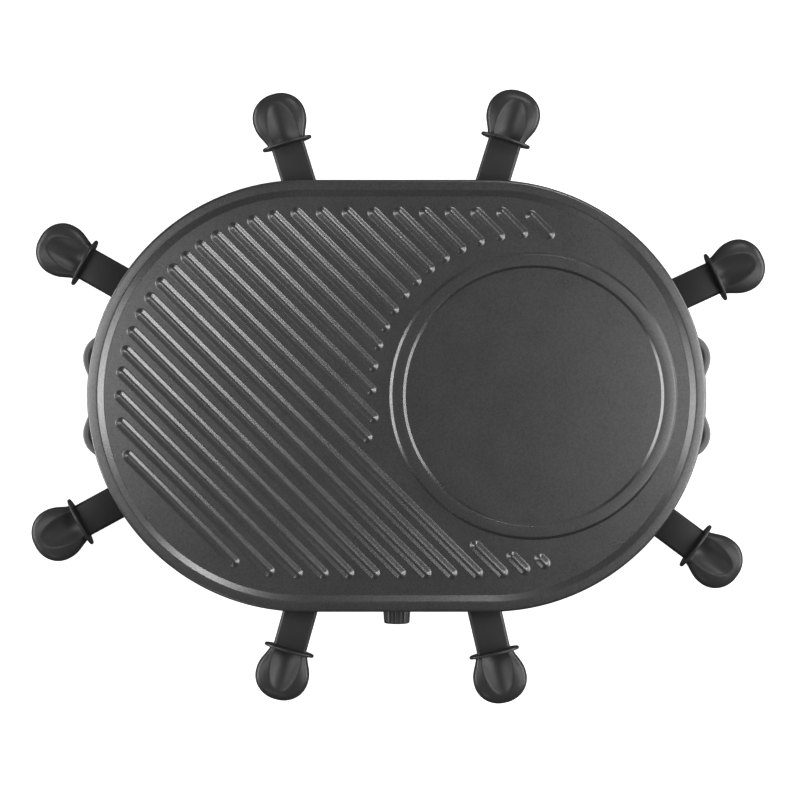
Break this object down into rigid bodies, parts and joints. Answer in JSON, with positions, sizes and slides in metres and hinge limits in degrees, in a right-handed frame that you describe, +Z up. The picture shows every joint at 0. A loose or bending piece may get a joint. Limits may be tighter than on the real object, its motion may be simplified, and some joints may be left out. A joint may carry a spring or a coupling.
{
  "type": "raclette grill",
  "caption": "Oval tabletop raclette grill: ribbed cast plate with a round crepe field on a low dark base, small pans with stub handles all round, one knob in front.",
  "frame": {"origin": "on the table, below the middle of the grill's oval plate", "axes": "+X along the plate towards the crepe field, +Y to the rear, +Z up; the knob is in front, towards -Y"},
  "size_m": [0.5235, 0.4394, 0.098],
  "materials": {
    "cast_coating": "satin",
    "tray_coating": "satin",
    "handle_plastic": "satin",
    "knob_plastic": "satin",
    "base_plastic": "satin",
    "frame_paint": "satin",
    "deck_paint": "satin",
    "sheet_steel": "satin",
    "element_steel": "satin",
    "screw_steel": "satin",
    "foot_rubber": "matte",
    "lens_red": "gloss",
    "inner_plastic": "satin"
  },
  "bodies": {
    "base": {"base_shell": "base_plastic", "bottom_cover": "sheet_steel", "foot_right_rear": "foot_rubber", "foot_right_front": "foot_rubber", "foot_left_rear": "foot_rubber", "foot_left_front": "foot_rubber", "cover_screw_right_rear": "screw_steel", "cover_screw_right_front": "screw_steel", "cover_screw_left_rear": "screw_steel", "cover_screw_left_front": "screw_steel", "pan_deck": "deck_paint", "control_tower": "base_plastic", "rear_tower": "base_plastic", "left_post": "base_plastic", "right_post": "base_plastic", "upper_frame": "frame_paint", "heating_element": "element_steel", "element_bracket_rear": "sheet_steel", "element_bracket_left": "sheet_steel", "element_bracket_right": "sheet_steel", "thermostat_body": "inner_plastic", "indicator_lens": "lens_red", "indicator_lamp": "inner_plastic", "terminal_block": "inner_plastic", "thermal_fuse": "sheet_steel", "cord_gland": "foot_rubber", "left_grip": "base_plastic", "right_grip": "base_plastic", "grip_screw_right_rear": "screw_steel", "grip_screw_right_front": "screw_steel", "grip_screw_left_rear": "screw_steel", "grip_screw_left_front": "screw_steel"},
    "grill_plate": {"grill_plate": "cast_coating"},
    "knob": {"control_knob": "knob_plastic", "thermostat_shaft": "sheet_steel"},
    "pan_rear_right": {"pan_tray_rear_right": "tray_coating", "pan_handle_rear_right": "handle_plastic", "pan_screw_rear_right": "screw_steel"},
    "pan_rear_left": {"pan_tray_rear_left": "tray_coating", "pan_handle_rear_left": "handle_plastic", "pan_screw_rear_left": "screw_steel"},
    "pan_left_rear": {"pan_tray_left_rear": "tray_coating", "pan_handle_left_rear": "handle_plastic", "pan_screw_left_rear": "screw_steel"},
    "pan_left_front": {"pan_tray_left_front": "tray_coating", "pan_handle_left_front": "handle_plastic", "pan_screw_left_front": "screw_steel"},
    "pan_front_left": {"pan_tray_front_left": "tray_coating", "pan_handle_front_left": "handle_plastic", "pan_screw_front_left": "screw_steel"},
    "pan_front_right": {"pan_tray_front_right": "tray_coating", "pan_handle_front_right": "handle_plastic", "pan_screw_front_right": "screw_steel"},
    "pan_right_front": {"pan_tray_right_front": "tray_coating", "pan_handle_right_front": "handle_plastic", "pan_screw_right_front": "screw_steel"},
    "pan_right_rear": {"pan_tray_right_rear": "tray_coating", "pan_handle_right_rear": "handle_plastic", "pan_screw_right_rear": "screw_steel"}
  },
  "joints": [
    {"name": "plate_lift", "type": "slide", "parent": "base", "child": "grill_plate", "axis": [0, 0, 1], "range_m": [0, 0.12]},
    {"name": "knob_turn", "type": "hinge", "parent": "base", "child": "knob", "pos_m": [0, -0.155, 0.057], "axis": [0, 1, 0], "range_deg": [0, 270]},
    {"name": "pan_rear_right_pull", "type": "slide", "parent": "base", "child": "pan_rear_right", "axis": [0.2974, 0.9548, 0], "range_m": [0, 0.12]},
    {"name": "pan_rear_left_pull", "type": "slide", "parent": "base", "child": "pan_rear_left", "axis": [-0.294, 0.9558, 0], "range_m": [0, 0.12]},
    {"name": "pan_left_rear_pull", "type": "slide", "parent": "base", "child": "pan_left_rear", "axis": [-0.8704, 0.4924, 0], "range_m": [0, 0.12]},
    {"name": "pan_left_front_pull", "type": "slide", "parent": "base", "child": "pan_left_front", "axis": [-0.8788, -0.4772, 0], "range_m": [0, 0.12]},
    {"name": "pan_front_left_pull", "type": "slide", "parent": "base", "child": "pan_front_left", "axis": [-0.2706, -0.9627, 0], "range_m": [0, 0.12]},
    {"name": "pan_front_right_pull", "type": "slide", "parent": "base", "child": "pan_front_right", "axis": [0.225, -0.9744, 0], "range_m": [0, 0.12]},
    {"name": "pan_right_front_pull", "type": "slide", "parent": "base", "child": "pan_right_front", "axis": [0.8007, -0.599, 0], "range_m": [0, 0.12]},
    {"name": "pan_right_rear_pull", "type": "slide", "parent": "base", "child": "pan_right_rear", "axis": [0.9078, 0.4195, 0], "range_m": [0, 0.12]}
  ]
}
